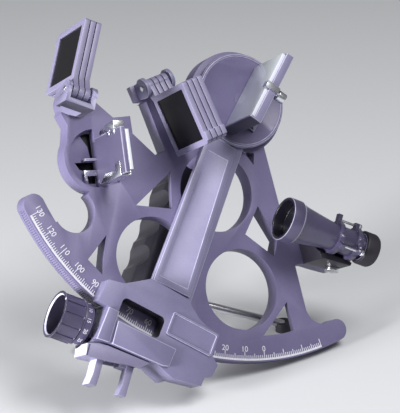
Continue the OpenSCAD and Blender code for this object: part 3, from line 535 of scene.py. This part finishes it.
in_plane = seen_from(Matrix.Identity(4))
on_housing = seen_from(turned_down(HOUSING_ANGLE))
on_worm_plane = seen_from(turned_down(WORM_ANGLE))
on_mirror = seen_from(turned_down(-MIRROR_ANGLE))
on_horizon = seen_from(turned_down(-HORIZON_ANGLE))
drum_axis = turned_down(WORM_ANGLE, -WORM_AXIS, WORM_DEPTH)
scope_axis = Matrix.Translation(SCOPE_ORIGIN) @ turned_down(SCOPE_ANGLE)

# How far a face's normal has to lie along an axis for the face to look that way
SQUARE_ON = 0.75
FACING = 0.7
TOWARDS = 0.6
INWARD = 0.2
UNDER_CHANNEL = Vector((0.25, -0.95, -0.15))
UNDER_FACING = 0.55


def in_recess(face):
    centre, _ = in_plane(face)
    across = (centre - Vector(LOBE)).to_2d().length
    return across < RECESS_R and centre.z < RECESS_FLOOR


def in_window(face):
    centre, normal = on_housing(face)
    left, right, bottom, top = WINDOW
    return left < centre.x < right and bottom < centre.y < top and abs(normal.z) < TOWARDS


def mirror_foot(face):
    return on_mirror(face)[1].x < -FACING


def mirror_rim(face):
    return abs(on_mirror(face)[1].y) < FACING


def horizon_rim(face):
    return abs(on_horizon(face)[1].y) < FACING


def horizon_broad_side(face):
    return abs(on_horizon(face)[1].y) > FACING


def under_channel(face):
    return in_plane(face)[1].dot(UNDER_CHANNEL) > UNDER_FACING


def lever_end(face):
    return on_worm_plane(face)[1].x < -SQUARE_ON


scope_inside = round_x(scope_axis, lambda r, outward, along:
                       outward < -INWARD or (r < SCOPE_BORE_R and along < -FACING))
drum_inside = round_x(drum_axis, lambda r, outward, along: r < DRUM_R - DRUM_WALL)
drum_rim = round_x(drum_axis, lambda r, outward, along:
                   r > DRUM_R - DRUM_WALL and along < -TOWARDS)

# Piece, effect, its strength, and the faces that have it
MARKS = [
    # Painted shade in the horizon mirror's recess
    ("frame", "dark", 1.0, in_recess),
    # Painted shade on the walls of the scale window
    ("micrometer_housing", "dark", 1.0, in_window),
    # Painted shade on the lower end of the index mirror's holder
    ("index_mirror_holder", "dark", 0.8, mirror_foot),
    # Painted shade under the horizon shades' bracket
    ("horizon_shade_bracket", "dark", 0.85, under_channel),
    # Painted shade on the broad sides of the horizon mirror's holder
    ("horizon_mirror_holder", "dark", 0.5, horizon_broad_side),
    # Painted shade inside the telescope
    ("telescope_body", "dark", 1.0, scope_inside),
    # Painted shade inside the drum
    ("micrometer_drum", "dark", 0.8, drum_inside),
    # Painted highlight on the drum's rim
    ("micrometer_drum", "edge", 1.6, drum_rim),
    ("index_mirror_glass", "edge", 1.0, mirror_rim),
    ("horizon_mirror_glass", "edge", 1.0, horizon_rim),
    # Painted highlight on the end of the fixed lever
    ("fixed_lever", "edge", 1.4, lever_end),
]
for node, effect, strength, chosen in MARKS:
    mark(pieces[node], effect, chosen, strength)


# Numbers

def numeral(text, height, matrix, name):
    """A printed number, thickened into a thin mesh, at a place in the plane."""
    bpy.ops.object.text_add()
    words = bpy.context.object
    words.data.body = text
    words.data.size = height
    words.data.align_x = "CENTER"
    words.data.align_y = "CENTER"
    words.data.extrude = INK_THICKNESS
    words.data.offset = INK_SPREAD
    bpy.ops.object.convert(target="MESH")
    return placed(bpy.context.object, name, matrix)


# The arc is read at twice the arm's angle
for reading in range(0, SCALE_MAX + 1, ARC_STEP):
    place = (STAND @ turned_down(ZERO_ANGLE + reading / 2)
             @ Matrix.Translation((0, -ARC_NUMBER_R, ARC_NUMBER_LIFT)))
    number = numeral(str(reading), ARC_NUMBER_H, place, f"arc_number_{reading}")
    dressed(number, "root", "scale_white")

for i in range(DIAL_NUMBERS):
    turn = tau * i / DIAL_NUMBERS
    facing = Matrix(((0, 1, 0), (-sin(turn), 0, cos(turn)), (cos(turn), 0, sin(turn)))).to_4x4()
    place = (STAND @ drum_axis @ Matrix.Translation((-DRUM_START - DIAL_NUMBER_X, 0, 0))
             @ facing @ Matrix.Translation((0, 0, DIAL_NUMBER_R)))
    number = numeral(str(DIAL_STEP * i), DIAL_NUMBER_H, place, f"dial_number_{DIAL_STEP * i}")
    dressed(number, "micrometer", "scale_white")


# Small details

# Seam at the end of the fixed lever
bpy.ops.mesh.primitive_cube_add(size=1)
seam_place = STAND @ turned_down(WORM_ANGLE) @ Matrix.Translation(LEVER_END)
seam = placed(bpy.context.object, "lever_seam", seam_place @ Matrix.Diagonal((*SEAM_SIZE, 1)))
dressed(seam, "index_arm", "lever_plastic", finish="drum_dark")

# Cap over the middle of the disc
shaft_top = max((FLAT @ v.co).z for v in pieces["pivot_shaft"].data.vertices)
bpy.ops.mesh.primitive_cylinder_add(vertices=64, radius=CAP_R, depth=CAP_H,
                                    location=(0, 0, shaft_top + CAP_LIFT))
cap = placed(bpy.context.object, "pivot_cap", STAND)
dressed(cap, "index_arm", "frame_plastic")


# Studio

# The camera of the photograph, in the instrument's own plane
CAMERA_PLACE = Vector((-653.2, -177.2, 1054.0))
CAMERA_RIGHT = Vector((0.8563, -0.2116, 0.4711))
CAMERA_UP = Vector((0.1406, 0.9733, 0.1815))
CAMERA_LENS = 154.69
SENSOR = 36
FLOOR_SIZE = 24

camera_data = bpy.data.cameras.new("camera")
camera_data.lens = CAMERA_LENS
camera_data.sensor_width = SENSOR
camera = bpy.data.objects.new("camera", camera_data)
bpy.context.scene.collection.objects.link(camera)
right = (STAND.to_3x3() @ CAMERA_RIGHT).normalized()
back = right.cross(STAND.to_3x3() @ CAMERA_UP).normalized()
turned = Matrix((right, back.cross(right), back)).transposed().to_4x4()
camera.matrix_world = Matrix.Translation(STAND @ CAMERA_PLACE) @ turned
bpy.context.scene.camera = camera

bpy.ops.object.select_all(action="DESELECT")
bpy.ops.mesh.primitive_plane_add(size=FLOOR_SIZE, location=(0, 0, 0))
floor = bpy.context.object
floor.name = "floor"


FLOOR_SEEN = (0.66, 0.67, 0.69, 1)
FLOOR_BOUNCE = (0.26, 0.265, 0.28, 1)


def pale_floor():
    """Pale to the eye and in reflections, but sends little light up under the object."""
    s = Shading()
    seen = (s.put("ShaderNodeLightPath", output="Is Camera Ray")
            + s.put("ShaderNodeLightPath", output="Is Glossy Ray")
            + s.put("ShaderNodeLightPath", output="Is Transmission Ray"))
    return s.surface(
        Base_Color=s.mix(seen, FLOOR_BOUNCE, FLOOR_SEEN),
        Roughness=0.9)


floor.data.materials.append(pale_floor())
floor.data.materials[0].name = "pale_floor"


def lamp(name, place, aim, size, power):
    """A soft square lamp that points at a place."""
    data = bpy.data.lights.new(name, "AREA")
    data.size = size
    data.energy = power
    lit = bpy.data.objects.new(name, data)
    bpy.context.scene.collection.objects.link(lit)
    direction = Vector(aim) - Vector(place)
    facing = direction.to_track_quat("-Z", "Y").to_matrix().to_4x4()
    lit.matrix_world = Matrix.Translation(place) @ facing


lamp("overhead", place=(0.22, -0.75, 1.4), aim=(0, 0, 0.12), size=0.7, power=17)
lamp("left_strip", place=(-1.5, -0.08, 0.42), aim=(0, 0, 0.13), size=0.5, power=41)

world = bpy.data.worlds.new("studio")
bpy.context.scene.world = world
world.use_nodes = True
sky = world.node_tree.nodes["Background"]
sky.inputs["Color"].default_value = (0.93, 0.94, 0.97, 1)
sky.inputs["Strength"].default_value = 0.2

bpy.context.scene.view_settings.view_transform = "Standard"
